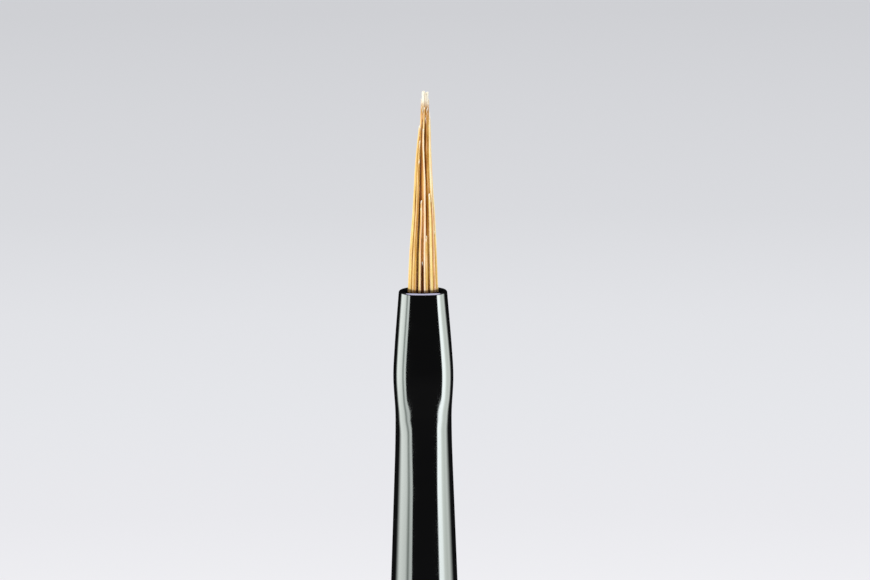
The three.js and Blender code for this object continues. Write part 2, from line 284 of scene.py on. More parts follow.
def lathe_rule():
    rule = Rule("lathe", {"Sides": "Int", "Material": "Material"})
    outline = rule.take("Geometry")
    sides = rule.take("Sides")
    count = rule.add("GeometryNodeAttributeDomainSize", {"component": "MESH"}, {"Geometry": outline})
    columns = sides + 1
    size = {"Vertices X": count.out("Point Count"), "Vertices Y": columns}
    grid = rule.add("GeometryNodeMeshGrid", inputs=size)
    index = rule.add("GeometryNodeInputIndex")
    row = ((index + 0.5) / columns).apply("FLOOR")
    column = index - row * columns
    sample = {"Geometry": outline, "Value": rule.add("GeometryNodeInputPosition"), "Index": row}
    point = rule.add("GeometryNodeSampleIndex", {"data_type": "FLOAT_VECTOR"}, sample)
    turn = {"Vector": point, "Angle": column / sides * math.tau}
    bent = rule.add("ShaderNodeVectorRotate", {"rotation_type": "Z_AXIS"}, turn)
    placed = rule.add("GeometryNodeSetPosition", inputs={"Geometry": grid, "Position": bent})
    weld = {"Geometry": placed, "Distance": WELD_DISTANCE * MM}
    return rule.finish(rule.add("GeometryNodeMergeByDistance", inputs=weld))


LATHE = lathe_rule()


def turn_piece(name, outline, material):
    points = [(radius * MM, 0, z * MM) for radius, z in outline]
    return grow(name, LATHE, points, {"Sides": LATHE_SIDES, "Material": material})


# %% [markdown]
# ## Curves through stations
#
# A maker gives a swaged tube by a few stations: so deep, this radius, opening this fast. Straight
# lines between them would show in a polished tube. A cubic through each pair of neighbours meets
# their radii and slopes, so the tube flows through them.

# %% Curves and arcs


def through(stations):
    """A smooth function of x through stations of (x, value, slope)."""

    def value(x):
        pairs = zip(stations, stations[1:])
        (x0, y0, m0), (x1, y1, m1) = next((p for p in pairs if x <= p[1][0]), stations[-2:])
        span = x1 - x0
        t = min(max((x - x0) / span, 0), 1)
        ease = t * t * (3 - 2 * t)
        leave = t * (1 - t) ** 2 * m0 * span
        arrive = t * t * (1 - t) * m1 * span
        return y0 + (y1 - y0) * ease + leave - arrive

    return value


def steps(start, end, count):
    return [start + (end - start) * i / count for i in range(count + 1)]


def stretches(start, *ends):
    """Steps from a start through one stretch after another, each given as (end, count)."""
    places = [start]
    for end, count in ends:
        places += steps(start, end, count)[1:]
        start = end
    return places


def arc(centre, radii, start, end, count):
    """Points on an ellipse's arc in the (radius, z) plane, with angles in degrees."""
    angles = [math.radians(a) for a in steps(start, end, count)]
    return [(centre[0] + radii[0] * math.cos(a), centre[1] + radii[1] * math.sin(a)) for a in angles]


# %% [markdown]
# ## The ferrule
#
# The ferrule is a seamless tube. Its mouth is swaged down on the hair, it swells where the bound
# root sits inside, draws in to a neck behind it and opens in a long cone to the handle, where two
# crimps lock it. A cylinder could be scaled ring by ring, but an outline is what a maker's drawing
# shows. It goes down the outside, round the back edge, up the bore and over the rolled lip, and the
# lathe makes it one closed wall.

# %% Ferrule outline
FERRULE_WALL = 0.28
FERRULE_LENGTH = mouth_z - ferrule_back_z
CRIMP_DEPTHS = (19.4, 21.6)
CRIMP_WIDTH = 1.3
CRIMP_DROP = 0.17
CRIMPS_FROM, CRIMPS_TO = 18.5, 22.5
BACK_EDGE_ROUNDING = 0.08
NECK_END = 10
CONE_SLOPE = 0.03604

# Each station is a depth, the radius there and how fast the radius grows with depth.
swaged_radius = through([
    (0, 1.208, 0.075), (3.11, 1.4495, 0.066), (4.36, 1.508, 0), (6.46, 1.41, 0),
    (9.06, 1.4675, CONE_SLOPE), (FERRULE_LENGTH, 2.042, CONE_SLOPE),
])


def crimp_at(depth):
    shares = [abs(depth - middle) / (CRIMP_WIDTH / 2) for middle in CRIMP_DEPTHS]
    return sum(CRIMP_DROP * math.cos(s * math.pi / 2) ** 2 for s in shares if s < 1)


def ferrule_radius(depth):
    return swaged_radius(depth) - crimp_at(depth)


def ferrule_outline():
    lip = FERRULE_WALL / 2
    back = FERRULE_LENGTH - BACK_EDGE_ROUNDING
    depths = stretches(lip, (NECK_END, 90), (CRIMPS_FROM, 12), (CRIMPS_TO, 50), (back, 6))
    outside = [(ferrule_radius(d), mouth_z - d) for d in depths]
    edge_middle = (ferrule_radius(back) - BACK_EDGE_ROUNDING, mouth_z - back)
    edge = arc(edge_middle, (BACK_EDGE_ROUNDING, BACK_EDGE_ROUNDING), 0, -90, 5)
    bore = [(ferrule_radius(d) - FERRULE_WALL, mouth_z - d) for d in [FERRULE_LENGTH] + depths[::-1]]
    lip_middle = (ferrule_radius(lip) - lip, mouth_z - lip)
    rolled = arc(lip_middle, (lip, lip), 180, 0, 14)
    return outside + edge[1:] + bore + rolled[1:]


print(f"ferrule outline: {len(ferrule_outline())} points")

# %% [markdown]
# ## Patterns in millimetres
#
# Object coordinates are the piece's own place in metres. Scaled by a thousand they are
# millimetres, so a noise of scale 2 has its lumps half a millimetre apart. Every finish below
# starts from that, and varies its colour, its roughness or its relief a little, because no real
# surface is one even value. An image texture would blur where the camera comes as close as here.

# %% Material helpers


def colour(r, g, b):
    """A colour in linear light from the 0-255 values of a screen, by the sRGB rule."""
    return tuple(((c / 255 + 0.055) / 1.055) ** 2.4 if c > 10 else c / 255 / 12.92 for c in (r, g, b))


def rgba(r, g, b):
    return (*colour(r, g, b), 1)


class Pattern(Graph):
    """A shader tree, with the patterns that this brush's finishes and lamps need."""

    def millimetres(self, stretch=(1, 1, 1)):
        place = self.add("ShaderNodeTexCoord").out("Object")
        scale = [s / MM for s in stretch]
        return self.add("ShaderNodeMapping", inputs={"Vector": place, "Scale": scale})

    def noise(self, scale, stretch=(1, 1, 1), detail=2):
        inputs = {"Vector": self.millimetres(stretch), "Scale": scale, "Detail": detail}
        return self.add("ShaderNodeTexNoise", inputs=inputs, output=0)

    def ramp(self, factor, stops):
        """A colour ramp through stops of (place, screen colour)."""
        linear = [(place, colour(*screen)) for place, screen in stops]
        return self.add("ShaderNodeValToRGB", {"stops": linear}, {"Fac": factor})

    def mix(self, factor, a, b):
        inputs = {"Factor_Float": factor, "A_Color": a, "B_Color": b}
        return self.add("ShaderNodeMix", {"data_type": "RGBA"}, inputs, "Result_Color")


class Finish(Pattern):
    """A material being written."""

    def __init__(self, name):
        self.material = bpy.data.materials.new(name)
        self.material.use_nodes = True
        self.material.node_tree.nodes.clear()
        super().__init__(self.material.node_tree)

    def bump(self, height, depth):
        """Relief from a height between 0 and 1, as deep as depth in millimetres."""
        return self.add("ShaderNodeBump", inputs={"Height": height, "Distance": depth * MM})

    def principled(self, **inputs):
        named = {name.replace("_", " ").title().replace("Ior", "IOR"): v for name, v in inputs.items()}
        return self.surface(self.add("ShaderNodeBsdfPrincipled", inputs=named))

    def surface(self, shader):
        self.add("ShaderNodeOutputMaterial", inputs={"Surface": shader})
        print(f"finish {self.material.name}: {len(self.tree.nodes)} nodes")
        return self.material


# %% [markdown]
# ## Black plating
#
# The ferrule is brass under a polished black plating, so it is a metal that mirrors very little: it
# shows black, with two pale stripes where it mirrors the lamps beside it. A Principled metal
# brightens where it is seen at a flat angle, and on a tube this slim that draws white lines along
# the outline. A Glossy node mirrors evenly, so the outline stays black. The fine marks of the
# polishing wheel round the tube only touch the roughness and the surface.

# %% Ferrule finish
PLATING = rgba(18, 18, 18)
POLISH = (0.05, 0.09)
HANDLED = 0.05
MARK_DEPTH = 0.0004


def plating_finish():
    paint = Finish("black_plating")
    turning_marks = paint.noise(3.0, stretch=(0.6, 0.6, 14), detail=4)
    handling = paint.noise(0.9, detail=3)
    rough = paint.between(turning_marks, 0.3, 0.7, *POLISH) + paint.between(handling, 0.45, 0.7, 0, HANDLED)
    relief = paint.bump(turning_marks, MARK_DEPTH)
    inputs = {"Color": PLATING, "Roughness": rough, "Normal": relief}
    return paint.surface(paint.add("ShaderNodeBsdfAnisotropic", inputs=inputs))


ferrule_tube = turn_piece("ferrule_tube", ferrule_outline(), plating_finish())
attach(ferrule_tube, "root")
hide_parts("ferrule")

# %% [markdown]
# The CAD tube goes through the same stations, so its rings of corners are measured against the
# turned tube, away from the lip and the back edge.

# %% How far the tube lies from the CAD tube
LIP_ZONE = 0.2
EDGE_ZONE = 0.1

rings = {}
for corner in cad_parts["ferrule"].data.vertices:
    ring_z = round(corner.co.z / MM, 3)
    rings[ring_z] = max(rings.get(ring_z, 0), math.hypot(corner.co.x, corner.co.y) / MM)
gaps = [
    abs(ferrule_radius(mouth_z - z) - radius)
    for z, radius in rings.items()
    if LIP_ZONE < mouth_z - z < FERRULE_LENGTH - EDGE_ZONE
]
print(f"the turned ferrule lies within {max(gaps):.4f} mm of the CAD's {len(rings)} rings")

# %% [markdown]
# ## The handle
#
# The handle is turned wood: a hidden tenon that the crimps bite into, a shoulder just proud of the
# ferrule, a swell for the fingers and a long taper to a round tail. A subdivided cylinder would
# look right outside, but on the lathe the tenon can follow the ferrule's own radius, crimps and
# all, with a film of adhesive between.

# %% Handle outline
HANDLE_LENGTH = ferrule_back_z - tail_z
GRIP_BEHIND = 22
WAIST_BEHIND_GRIP = 46
TAIL_ROUNDING = 1.6
TAIL_RADIUS = 1.3
TAIL_INSET = 0.001
SHOULDER_GAP = 0.02
SHOULDER_EDGE = 0.12
BODY_START = 0.3
ADHESIVE_FILM = 0.14
TENON_INSET = FERRULE_WALL + ADHESIVE_FILM
TENON_FRONT = 13.5
TENON_NOSE = 0.6

# Each station is a distance behind the ferrule, the radius there and how fast it grows.
handle_radius = through([
    (0, 2.082, 0.03), (GRIP_BEHIND, 3.3, 0), (GRIP_BEHIND + WAIST_BEHIND_GRIP, 2.55, -0.02),
    (HANDLE_LENGTH - TAIL_ROUNDING, TAIL_RADIUS, -0.014),
])


def handle_outline():
    front = mouth_z - TENON_FRONT
    depths = stretches(TENON_FRONT + TENON_NOSE, (CRIMPS_FROM, 6), (CRIMPS_TO, 40)) + [FERRULE_LENGTH]
    tenon = [(ferrule_radius(d) - TENON_INSET, mouth_z - d) for d in depths]
    nose = [(0, front), (tenon[0][0] - TENON_NOSE / 2, front)]
    shoulder_z = ferrule_back_z - SHOULDER_GAP
    inner = (tenon[-1][0], shoulder_z)
    corner = (handle_radius(0) - SHOULDER_EDGE, shoulder_z - SHOULDER_EDGE)
    edge = arc(corner, (SHOULDER_EDGE, SHOULDER_EDGE), 90, 0, 6)
    behind = steps(BODY_START, HANDLE_LENGTH - TAIL_ROUNDING, 150)
    body = [(handle_radius(b), ferrule_back_z - b) for b in behind]
    tail = arc((0, tail_z + TAIL_ROUNDING), (TAIL_RADIUS, TAIL_ROUNDING - TAIL_INSET), 0, -90, 16)
    return nose + tenon[:-1] + [inner] + edge + body + tail[1:]


print(f"handle outline: {len(handle_outline())} points")

# %% [markdown]
# ## Black lacquer
#
# The wood is stained dark and dipped, so the grain hardly shows, but the lacquer sinks a little
# along it. One glossy black surface would look like plastic. A clear coat over a rough dark base
# has the lacquer's sharp highlight and, under it, the wood's faint streaks.

# %% Handle finish
STAINED_GRAIN = [(0.3, (12, 11, 10)), (0.55, (19, 16, 14)), (0.75, (28, 22, 17))]
PORE = rgba(7, 6, 6)
LACQUER_RELIEF = 0.01


def lacquer_finish():
    paint = Finish("black_lacquer")
    grain = paint.noise(2.2, stretch=(1, 1, 0.03), detail=5)
    pores = paint.noise(9.0, stretch=(1, 1, 0.05), detail=2)
    flow = paint.noise(0.5, stretch=(1, 1, 0.5), detail=2)
    open_pore = paint.between(pores, 0.62, 0.74)
    tone = paint.mix(open_pore * 0.7, paint.ramp(grain, STAINED_GRAIN), PORE)
    relief = paint.bump(flow * 0.6 + grain * 0.3 - open_pore * 0.12, LACQUER_RELIEF)
    return paint.principled(
        base_color=tone, roughness=0.42, specular_ior_level=0.05, coat_weight=1.0, coat_ior=1.38,
        coat_roughness=0.1, normal=relief,
    )


handle_wood = turn_piece("handle_wood", handle_outline(), lacquer_finish())
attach(handle_wood, "root")
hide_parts("handle")

# %% [markdown]
# ## The hair
#
# A tuft is a few hundred hairs, laid up in a cup and tied, so each keeps its place in the bundle
# while the bundle tapers to its point. Side by side they hang together in locks, with dark gaps
# between, and that is what the eye reads as hair. Blender's hair curves would render well, but a
# library part needs solid hairs. The rule for one is short: start at your place in the glued root,
# rise with the tuft's taper, draw in to your lock and thin towards your tip. A Float Curve node
# runs the taper through the tuft's radii at a few heights.

# %% The tuft's sizes
ROOT_DEPTH = 6.0
TUFT_HEIGHT = tuft_tip_z - mouth_z
FIELD_RADIUS = 0.908
MOUTH_RADIUS = 0.785
TUFT_LEVELS = [
    (-2.72, FIELD_RADIUS), (0, MOUTH_RADIUS), (2.5, 0.667), (4.5, 0.536), (6.5, 0.41), (8.4, 0.29),
    (9.2, 0.245), (9.6, 0.29), (10.0, 0.37),
]
HAIR_THICKNESS = 0.068
HAIR_STEPS = 16
HAIR_SIDES = 5


def shape_taper(node):
    """Draws the tuft's outline on a Float Curve, as shares of the root's radius."""
    curve = node.mapping.curves[0]
    span = ROOT_DEPTH + TUFT_HEIGHT
    wanted = [((height + ROOT_DEPTH) / span, radius / FIELD_RADIUS) for height, radius in TUFT_LEVELS]
    curve.points[0].location = (0, 1)
    curve.points[1].location = wanted[-1]
    for spot in wanted[:-1]:
        curve.points.new(*spot)
    for point in curve.points:
        point.handle_type = "AUTO_CLAMPED"
    node.mapping.update()


print(f"the tuft stands {TUFT_HEIGHT:.2f} mm out of the mouth and {2 * MOUTH_RADIUS:.2f} mm wide in it")

# %% [markdown]
# The rule needs a few words of its own: a chance number for each hair, numbers stored on the points
# and read again further on, and a blend of two values.

# %% Words for the hair's rule
FLOATS = {"data_type": "FLOAT", "domain": "POINT"}


class HairRule(Rule):
    """The Geometry Nodes tree that lays up one layer of the tuft."""

    def random(self, draw, identity, low=0.0, high=1.0):
        inputs = {"Min": low, "Max": high, "ID": identity, "Seed": self.take("Seed") + draw}
        return self.add("FunctionNodeRandomValue", {"data_type": "FLOAT"}, inputs, "Value")

    def keep(self, geometry, name, value):
        inputs = {"Geometry": geometry, "Name": name, "Value": value}
        return self.add("GeometryNodeStoreNamedAttribute", FLOATS, inputs)

    def kept(self, name):
        return self.add("GeometryNodeInputNamedAttribute", {"data_type": "FLOAT"}, {"Name": name})


def blend(share, low, high):
    return low + (high - low) * share


# %% [markdown]
# ### Laying up
#
# The locks are a table, and the table is the mesh that the tree grows from: one point for each
# lock, with its numbers as attributes. The hairs are dealt out to the locks in turn. Each takes
# its lock's numbers and its own place in the bundle and the lock, which steps by the golden ratio
# so that neighbours never line up.

# %% A place for each hair
GOLDEN_SHARE = 0.618
LOCK_STAGGER = 0.37
HAIR_VARIETY = 0.12
REACH_DRAW, TONE_DRAW, PALE_DRAW = 13, 14, 15
PALE_RANGE = (0.6, 1.4)


def lay_up(rule):
    """A point for each hair, with its lock's numbers and its own."""
    locks, take = rule.take("Geometry"), rule.take
    index = rule.add("GeometryNodeInputIndex")
    count = rule.add("GeometryNodeAttributeDomainSize", {"component": "MESH"}, {"Geometry": locks})
    lock = index % count.out("Point Count")
    rank = (index / count.out("Point Count")).apply("FLOOR")
    spread = (rank * GOLDEN_SHARE + lock * LOCK_STAGGER) % 1.0

    def of_lock(name):
        inputs = {"Geometry": locks, "Value": rule.kept(name), "Index": lock}
        return rule.add("GeometryNodeSampleIndex", FLOATS, inputs)

    inner, outer = take("Inner Share"), take("Outer Share")
    outwards = (index + 0.5) / take("Hairs")
    numbers = {
        "place": blend(outwards, inner * inner, outer * outer) ** 0.5,
        "start": of_lock("start"),
        "finish": of_lock("finish"),
        "aside": (spread - 0.5) * of_lock("width"),
        "low_tone": of_lock("low_tone"),
        "high_tone": of_lock("high_tone"),
        "tip": of_lock("reach") - rule.random(REACH_DRAW, index) ** 2.0 * take("Ragged"),
        "hair_tone": rule.random(TONE_DRAW, index),
        "pale_tip": take("Pale Tip") * rule.random(PALE_DRAW, index, *PALE_RANGE),
        "which": lock + spread * HAIR_VARIETY,
    }
    points = rule.add("GeometryNodePoints", inputs={"Count": take("Hairs")})
    for name, value in numbers.items():
        points = rule.keep(points, name, value)
    return points


def stand_up(rule, points):
    """A straight line on each point, which the rule then bends."""
    line = rule.add("GeometryNodeCurvePrimitiveLine", inputs={"End": (0, 0, 1)})
    line = rule.add("GeometryNodeResampleCurve", inputs={"Curve": line, "Count": HAIR_STEPS + 1})
    hairs = rule.add("GeometryNodeInstanceOnPoints", inputs={"Points": points, "Instance": line})
    return rule.add("GeometryNodeRealizeInstances", inputs={"Geometry": hairs})


# %% [markdown]
# ### Bending
#
# A corner's height gives the tuft's radius there, and how far the hair has drawn in to its lock,
# sunk between its neighbours and turned to where the lock ends. A slow noise and a small lean keep
# the tuft from looking machine-made.

# %% Where a hair runs
# Pairs are heights above the mouth, between which a change takes place.
OPENING = (-2.2, 0.4)
CROSSING = (5.5, 8.7)
WANDERING = (-0.5, 3.0)
LOW_LEANING = (1.5, 4.0)
TIP_LEANING = (6.0, 9.4)
LOW_LEAN = 0.05
GATHER_INWARDS = 0.6
WAVE_BY_LOCK, WAVE_BY_HEIGHT, WAVE_BY_SEED = 3.7, 0.4, 5.0


def around(rule, height, taper):
    """The radius and the angle of a hair's corner about the tuft's axis."""
    take, kept = rule.take, rule.kept
    opened = rule.between(height, *OPENING)
    risen = rule.between(height, 0.0, TUFT_HEIGHT)
    gathered = opened * take("Gather")
    sunk = opened * (1 - blend(risen, kept("low_tone"), kept("high_tone"))) * take("Sink")
    layer_middle = (take("Inner Share") + take("Outer Share")) * 0.5
    ring = blend(gathered * GATHER_INWARDS, kept("place"), layer_middle) - sunk
    turned = rule.between(height, *CROSSING)
    degrees = blend(turned, kept("start"), kept("finish")) + kept("aside") * (1 - gathered)
    return ring * taper * FIELD_RADIUS, degrees * (math.pi / 180)


def sway(rule, height):
    """How far a hair's corner wanders to the side and to the back."""
    wave_at = rule.vector(
        X=rule.kept("which") * WAVE_BY_LOCK, Y=height * WAVE_BY_HEIGHT, Z=rule.take("Seed") * WAVE_BY_SEED
    )
    inputs = {"Vector": wave_at, "Scale": 1.0, "Detail": 1.0}
    wave = rule.parts(rule.add("ShaderNodeTexNoise", inputs=inputs, output="Color"))
    strength = rule.between(height, *WANDERING) * rule.take("Wander")
    return [(part - 0.5) * strength for part in wave[:2]]


def bend(rule, hairs, height, taper):
    radius, angle = around(rule, height, taper)
    aside, back = sway(rule, height)
    low_lean = rule.between(height, *LOW_LEANING) * LOW_LEAN
    lean = low_lean + rule.between(height, *TIP_LEANING) * rule.take("Lean")
    x = radius * angle.apply("SINE") + aside + lean
    y = back - radius * angle.apply("COSINE")
    at = rule.vector(X=x * MM, Y=y * MM, Z=(height + mouth_z) * MM)
    return rule.add("GeometryNodeSetPosition", inputs={"Geometry": hairs, "Position": at})


# %% [markdown]
# ### Giving the hairs their thickness
#
# A hair thins with the tuft, and then to its own tip. Its height and its distance from its tip are
# stored on the mesh, because the finish needs them later.

# %% The rule for hair
GIRTH_POWER = 0.6
TIP_GIRTH = 0.6
TIP_TAPER = 0.6
HAIR_SIZES = (
    "Inner Share", "Outer Share", "Gather", "Sink", "Thickness", "Wander", "Lean", "Ragged", "Pale Tip",
)
HAIR_INPUTS = {"Hairs": "Int", **dict.fromkeys(HAIR_SIZES, "Float"), "Seed": "Int", "Material": "Material"}


def hair_rule():
    rule = HairRule("hair", HAIR_INPUTS)
    hairs = stand_up(rule, lay_up(rule))
    along = rule.add("GeometryNodeSplineParameter", output="Factor")
    height = blend(along, -ROOT_DEPTH, rule.kept("tip"))
    share = (height + ROOT_DEPTH) / (ROOT_DEPTH + TUFT_HEIGHT)
    taper = rule.add("ShaderNodeFloatCurve", inputs={"Value": share})
    shape_taper(taper.node)
    bent = bend(rule, hairs, height, taper)
    to_tip = rule.kept("tip") - height
    bent = rule.keep(bent, "rise", height)
    bent = rule.keep(bent, "to_tip", to_tip)
    slim = TIP_GIRTH + (1 - TIP_GIRTH) * rule.between(to_tip, 0.0, TIP_TAPER)
    with_tuft = (taper * (FIELD_RADIUS / MOUTH_RADIUS)) ** GIRTH_POWER
    girth = rule.take("Thickness") * 0.5 * MM * with_tuft * slim
    return rule.finish(rule.sweep(bent, HAIR_SIDES, 1.0, Scale=girth))


HAIR = hair_rule()

# %% [markdown]
# ## Hair's colour
#
# Natural hair is golden where it faces the light, brown between the locks and nearly white at its
# fine tips. A hair shader makes that from light shining through fine strands. These are solids and
# fewer, so that light and shade is painted into their colour, over the hair's own golden tone: the
# tones of the locks hold painted shade in the gaps between them and painted highlight on the locks
# that stand out, and the pale tips are partly the hairs' own colour, partly painted light shining
# through them. The lock sets most of the tone, the single hair a little, and a noise stretched up
# the tuft changes it slowly along a hair. Two ramps from brown to cream, one golden and one rosier,
# turn the tone into a colour; their brown ends give the painted shade and their cream ends the
# painted highlight.

# %% Hair colours
GOLDEN_RAMP = [
    (0.0, (82, 40, 5)), (0.2, (148, 93, 20)), (0.4, (201, 152, 62)),
    (0.6, (234, 196, 112)), (0.8, (252, 226, 150)), (1.0, (255, 246, 200)),
]
ROSY_RAMP = [
    (0.0, (84, 34, 12)), (0.2, (158, 94, 42)), (0.4, (214, 154, 104)),
    (0.6, (244, 192, 146)), (0.8, (255, 222, 184)), (1.0, (255, 244, 220)),
]
PALE_TIPS = rgba(255, 252, 236)
# Painted shadow: the dark brown that the hairs turn where they go into the ferrule's mouth.
PAINTED_MOUTH_SHADOW = rgba(58, 28, 12)
# Pairs are heights above the mouth, between which a change takes place.
TONE_HEIGHTS = (1.5, 7.5)
EVEN_TONE, EVEN_SHARE, EVEN_HEIGHTS = 0.42, 0.6, (8.2, 9.0)
PALE_HEIGHTS = (9.0, 9.65)
# Heights above the mouth across which the painted shadow sets in, and how strong it is.
IN_MOUTH, IN_MOUTH_SHARE = (0.13, 0.01), 0.85
# How much each thing adds to the tone, and the tones of a lock between which its tips turn pale.
LOCK_SHARE, HAIR_SHARE, STREAKS, PATCHES, DARKER = 0.82, 0.18, 0.5, 0.3, 0.05
ROSY_FROM = (0.42, 0.78)
PALE_LOCKS = (0.36, 0.5, 0.68, 0.96)
HAIR_ROUGHNESS = (0.32, 0.48)
SCALE_RELIEF = 0.003
print(f"{len(GOLDEN_RAMP)} golden and {len(ROSY_RAMP)} rosy tones")

# %% Hair finish


def hair_finish():
    paint = Finish("golden_hair")

    def kept(name):
        return paint.add("ShaderNodeAttribute", {"attribute_name": name}, output="Fac")

    rise = kept("rise")
    # The lock tones carry painted shade in the gaps and painted highlight on the locks that stand out.
    lock_tone = paint.between(rise, *TONE_HEIGHTS, kept("low_tone"), kept("high_tone"))
    lock_tone = lock_tone + (EVEN_TONE - lock_tone) * paint.between(rise, *EVEN_HEIGHTS) * EVEN_SHARE
    streak = paint.noise(7.0, stretch=(1, 1, 0.1), detail=2)
    patch = paint.noise(1.3, stretch=(2, 2, 0.7), detail=1)
    tone = lock_tone * LOCK_SHARE + kept("hair_tone") * HAIR_SHARE
    tone = tone + (streak - 0.5) * STREAKS + (patch - 0.5) * PATCHES - DARKER
    hue = kept("hair_tone") * 0.5 + paint.noise(2.2, stretch=(2, 2, 0.5)) * 0.5
    hue = paint.between(hue, *ROSY_FROM)
    body = paint.mix(hue, paint.ramp(tone, GOLDEN_RAMP), paint.ramp(tone, ROSY_RAMP))
    own_tip = paint.between(kept("to_tip"), kept("pale_tip"), 0.0)
    pale = own_tip.apply("MAXIMUM", paint.between(rise, *PALE_HEIGHTS))
    pale = pale * paint.between(lock_tone, *PALE_LOCKS)
    tipped = paint.mix(pale, body, PALE_TIPS)
    # Painted shadow: the hairs darken just above the mouth and inside it, where the ferrule shades them.
    tipped = paint.mix(paint.between(rise, *IN_MOUTH) * IN_MOUTH_SHARE, tipped, PAINTED_MOUTH_SHADOW)
    scales = paint.noise(30.0, stretch=(1, 1, 0.5), detail=1)
    rough = paint.between(scales, 0.2, 0.8, *HAIR_ROUGHNESS)
    relief = paint.bump(scales, SCALE_RELIEF)
    return paint.principled(base_color=tipped, roughness=rough, specular_ior_level=0.03, normal=relief)


GOLDEN_HAIR = hair_finish()

# %% [markdown]
# ## Three layers of locks
#
# The layers are laid up from the inside out, and each stands for the CAD bundle of its name. The
# inner hairs are the longest and make the point. The next fill the belly. The outer ones lie on
# them, and some of those in front end low on the tuft. Locks left to chance would look like some
# tuft, but not like this one.
#
# A lock's numbers are its turn round the tuft in degrees at the mouth and at the tip, counted from
# the camera's side to the right, its tones there, from brown to cream, and the height of its
# longest hair. The locks round the back are even, with chance tones.

# %% Lock tables
# The tones are partly the hair's own colour and partly painted light: the low tones of locks sunk in the
# gaps are painted shade, and the high tones of locks that stand out are painted highlight.
POINT_LOCKS = [
    (-150, -150, 0.5, 0.6, 9.9), (-95, -95, 0.5, 0.9, 9.95), (-60, -60, 0.5, 0.95, 10.0),
    (-30, -30, 0.5, 0.6, 10.0), (5, 5, 0.5, 0.4, 9.95), (30, 30, 0.5, 0.4, 9.85),
    (60, 60, 0.5, 0.6, 9.95), (100, 100, 0.5, 0.9, 9.95), (150, 150, 0.5, 0.6, 9.9),
]
BELLY_LOCKS = [
    (-88, -88, 0.7, 0.7, 9.4), (-66, -66, 0.7, 0.6, 9.5), (-52, -54, 0.3, 0.4, 9.2),
    (-40, -44, 0.5, 0.5, 9.1), (-30, -42, -0.25, -0.05, 8.8), (-20, -32, 0.05, 0.0, 8.8),
    (-8, -26, 0.45, 0.3, 9.0), (1, -20, 0.4, 0.65, 9.2), (11, -11, 0.6, 0.8, 9.2),
    (22, 8, 0.16, -0.12, 8.7), (31, 18, 0.42, 0.15, 8.8), (42, 30, 0.55, 0.35, 9.1),
    (55, 46, 0.25, 0.5, 9.2), (76, 72, 0.75, 0.75, 9.4),
]
OUTER_LOCKS = [
    (-84, -84, 0.8, 0.85, 8.3), (-64, -66, 0.85, 0.8, 8.4), (-54, -60, 0.3, 0.4, 8.2),
    (-44, -48, 0.8, 0.75, 7.6), (-36, -42, 0.5, 0.5, 6.6), (-14, -14, 0.75, 0.55, 4.6),
    (-2, -2, -0.3, -0.3, 1.5), (8, -16, 0.85, 0.95, 8.2), (17, 19, 0.62, 0.62, 2.8),
    (39, 42, 1.0, 0.95, 4.9), (50, 52, 0.5, -0.1, 4.6), (60, 66, 0.7, 0.95, 8.6),
    (71, 74, 0.75, 0.6, 3.0), (84, 86, 0.85, 0.95, 9.0),
]


def lock_columns(front, behind, tones, reaches, seed):
    """The attributes of the listed locks and of even ones behind them, in order round the tuft."""
    chance = random.Random(seed)
    gap = (front[0][0] + 360 - front[-1][0]) / (behind + 1)
    turns = [front[-1][0] + gap * (i + 1) for i in range(behind)]
    rear = [(t, t, chance.uniform(*tones), chance.uniform(*tones), chance.uniform(*reaches)) for t in turns]
    locks = front + rear
    before = [locks[-1][0] - 360] + [lock[0] for lock in locks[:-1]]
    after = [lock[0] for lock in locks[1:]] + [locks[0][0] + 360]
    columns = dict(zip(("start", "finish", "low_tone", "high_tone", "reach"), zip(*locks)))
    columns["width"] = [(high - low) / 2 for low, high in zip(before, after)]
    return columns


print(f"locks in front: {len(POINT_LOCKS)}, {len(BELLY_LOCKS)} and {len(OUTER_LOCKS)}")

# %% Laying up the tuft
COLUMNS = ("Hairs", "Inner Share", "Outer Share", "Gather", "Sink", "Ragged", "Pale Tip", "Seed")
LAYERS = {
    "point_hair": (
        "point_hairs", lock_columns(POINT_LOCKS, 0, (0.4, 0.8), (9.6, 9.9), 1),
        (90, 0.0, 0.5, 0.3, 0.0, 0.12, 0.6, 3),
    ),
    "belly_hair": (
        "belly_hairs", lock_columns(BELLY_LOCKS, 13, (0.0, 0.6), (9.2, 9.8), 2),
        (162, 0.5, 0.8, 0.5, 0.06, 0.4, 0.2, 5),
    ),
    "outer_hair": (
        "outer_hairs", lock_columns(OUTER_LOCKS, 15, (0.3, 1.0), (7.4, 9.0), 3),
        (162, 0.8, 0.985, 0.65, 0.07, 0.45, 0.18, 8),
    ),
}
SHARED = {"Thickness": HAIR_THICKNESS, "Wander": 0.06, "Lean": 0.1, "Material": GOLDEN_HAIR}

for name, (node, columns, sizes) in LAYERS.items():
    points = [(0, 0, 0)] * len(columns["start"])
    bundle = grow(name, HAIR, points, {**dict(zip(COLUMNS, sizes)), **SHARED}, columns)
    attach(bundle, "root")
    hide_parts(node)

# %% [markdown]
# ## What the ferrule hides
#
# Inside the ferrule the tuft's root is bound with one thread, wound nine times, each turn against
# the last. A stack of rings would look alike, but a thread has two ends, so this one is a spiral
# swept by a small circle, a little thinner than its pitch so that the turns stay apart.

# %% The binding thread
THREAD_DIAMETER = 0.12
THREAD_GIRTH = 0.49
THREAD_TURNS = 9
THREAD_INNER_RADIUS = 0.968
THREAD_MIDDLE_DEPTH = 4.36
TURN_STEPS = 40
THREAD_SIDES = 8
COTTON = [(0.3, (176, 164, 138)), (0.7, (224, 216, 196))]
SOAKED_COTTON = rgba(150, 104, 54)
FIBRE_RELIEF = 0.006


